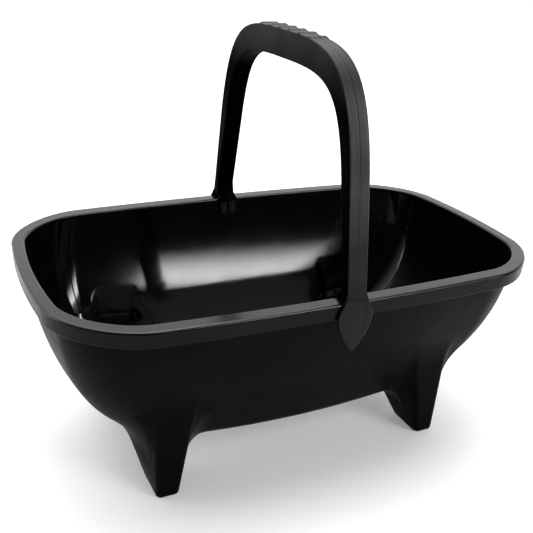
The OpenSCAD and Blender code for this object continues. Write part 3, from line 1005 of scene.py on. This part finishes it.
def black_plastic(name, colour, roughness, specular, grain, unevenness, dust, film=0.0):
    """Moulded black plastic: cloudy colour and gloss, moulded grain, and a little dust, with a
    film of it low down in the tub."""
    make = Material(name)
    make.shader.inputs["Specular IOR Level"].default_value = specular
    cloud = make.noise(scale=14, detail=3)
    deep, pale = [tuple(shade * part for part in colour) for shade in CLOUD_SHADES]
    body = make.mix(make.spread(cloud, *CLOUD_NOISE, 0, 1), deep, pale)
    if film:
        where = make.nodes.new("ShaderNodeSeparateXYZ")
        make.link(make.place, where.inputs[0])
        low = make.spread(where.outputs["Z"], *FILM_HEIGHT, 1, 0)
        from_middle = make.math("ABSOLUTE", where.outputs["X"], 0)
        settled = make.math("MULTIPLY", low, make.spread(from_middle, *FILM_SPAN, 1, 0))
        body = make.mix(settled, body, (film, film, film))
    speck = make.spread(make.noise(scale=420, detail=1), *SPECK_NOISE, 0, dust)
    body = make.mix(speck, body, DUST)
    patch = make.noise(scale=45, detail=3)
    rough = make.spread(patch, *PATCH_NOISE, *[roughness * share for share in PATCH_SHARES])
    rough = make.math("ADD", rough, make.math("MULTIPLY", speck, DUST_ROUGHNESS))
    skin = make.bump(make.noise(scale=1500), grain)
    skin = make.bump(make.noise(scale=38, detail=1), unevenness, skin)
    return make.finished(body, rough, skin)


def handle_plastic(name, colour, painted_highlight, rise, roughness, specular):
    """Satin plastic with flow marks along the strap and a hairline down its middle. Its colour
    turns to a painted highlight over that rise, given as two heights in millimetres."""
    make = Material(name)
    middle = HANDLE_PLACE * MM
    make.shader.inputs["Specular IOR Level"].default_value = specular
    flow = make.noise(scale=900, stretch=(1, 0.012, 0.012))
    marks = make.noise(scale=260, stretch=(0.04, 1, 0.06))
    cloud = make.noise(scale=18, detail=3)
    across = make.nodes.new("ShaderNodeSeparateXYZ")
    make.link(make.place, across.inputs[0])
    # Painted highlight: the strap is painted lighter higher up, where light falls on it, broken
    # up in patches by noise.
    height = make.spread(across.outputs["Z"], rise[0] * MM, rise[1] * MM, 0, 1)
    highlit_colour = make.mix(height, colour, painted_highlight)
    share = make.math("MULTIPLY", make.math("ADD", flow, cloud), 0.5)
    body = make.mix(make.spread(share, *PATCHY_HIGHLIGHT_NOISE, 0, 1), highlit_colour, colour)
    off = make.math("ABSOLUTE", make.math("SUBTRACT", across.outputs["X"], middle), 0)
    line = make.spread(off, *HAIRLINE_EDGE, HAIRLINE_SHARE, 0)
    body = make.mix(line, body, HAIRLINE)
    rough = make.spread(flow, *FLOW_NOISE, *[roughness * share for share in FLOW_SHARES])
    rough = make.math("ADD", rough, make.math("MULTIPLY", line, HAIRLINE_ROUGHNESS))
    skin = make.bump(make.noise(scale=1300), HANDLE_GRAIN)
    skin = make.bump(flow, FLOW_DEPTH, skin)
    skin = make.bump(marks, MARK_DEPTH, skin)
    skin = make.bump(make.math("SUBTRACT", 1, line), HAIRLINE_DEPTH, skin)
    return make.finished(body, rough, skin)


# ---- The scene ----

BODY_MIDDLE = (0, 0, 0.15)      # what most lights face

bpy.context.scene.view_settings.view_transform = "Standard"
make_camera()
make_floor()
make_world()
make_light("ceiling", place=(0.0, 1.6, 4.0), target=(0, 1.0, 0), size=(5.0, 5.0), radiance=2.2)
make_light("overhead", place=(0.25, 0.15, 1.9), target=(0, 0, 0.1), size=(0.9, 0.9),
           radiance=2.5)
make_light("front", place=(1.2, -1.6, 0.775), target=BODY_MIDDLE, size=(1.3, 0.21),
           radiance=17, fade=0.9)
make_light("front_high", place=(0.9, -1.7, 1.55), target=BODY_MIDDLE, size=(0.9, 0.8),
           radiance=6)
make_light("left", place=(-2.1, 0.95, 0.75), target=BODY_MIDDLE, size=(1.0, 1.0),
           radiance=2.2, fade=0.3)
gloss = black_plastic("tub_gloss", colour=(0.0012, 0.0012, 0.0013), roughness=0.07,
                      specular=0.5, grain=2e-6, unevenness=2e-5, dust=0.25, film=0.016)
rim_plastic = black_plastic("tub_rim", colour=(0.002, 0.002, 0.0021), roughness=0.2,
                            specular=0.4, grain=2e-5, unevenness=3e-5, dust=0.1)
apron = black_plastic("tub_apron", colour=(0.0016, 0.0016, 0.0017), roughness=0.32,
                      specular=0.09, grain=3e-5, unevenness=3e-5, dust=0.1)
satin = black_plastic("tub_satin", colour=(0.001, 0.001, 0.0011), roughness=0.42,
                      specular=0.03, grain=4e-5, unevenness=4e-5, dust=0.1)
# The outer face's painted highlight rises from the rim towards the grip.
strap_outside = handle_plastic("handle_satin", colour=(0.002, 0.002, 0.0021),
                               painted_highlight=(0.06, 0.06, 0.061), rise=(RIM_HEIGHT, HANDLE_TOP - 70),
                               roughness=0.46, specular=0.14)
# Painted shade: a darker, duller copy of the handle's plastic for its sides and inner face, with
# its own painted highlight near the grip's top.
strap_painted_shade = handle_plastic("handle_satin_painted_shade", colour=(0.0004, 0.0004, 0.0004),
                              painted_highlight=(0.04, 0.04, 0.041),
                              rise=(HANDLE_TOP - 48, HANDLE_TOP - 8), roughness=0.6,
                              specular=0.005)
tub = make_tub(gloss, rim_plastic, satin, apron)
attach(tub, "tub")
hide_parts("bowl", "rim", "leg_front_left", "leg_front_right", "leg_rear_left",
            "leg_rear_right")
handle = make_handle(strap_outside, strap_painted_shade)
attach(handle, "handle")
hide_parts("handle_grip", "handle_arm_front", "handle_arm_rear", "clip_plate_front",
            "clip_plate_rear")
for name, side in (("snap_tongue_front", -1), ("snap_tongue_rear", 1)):
    tongue = make_tongue(name + "_moulding", side, strap_outside)
    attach(tongue, "handle")
    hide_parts(name)
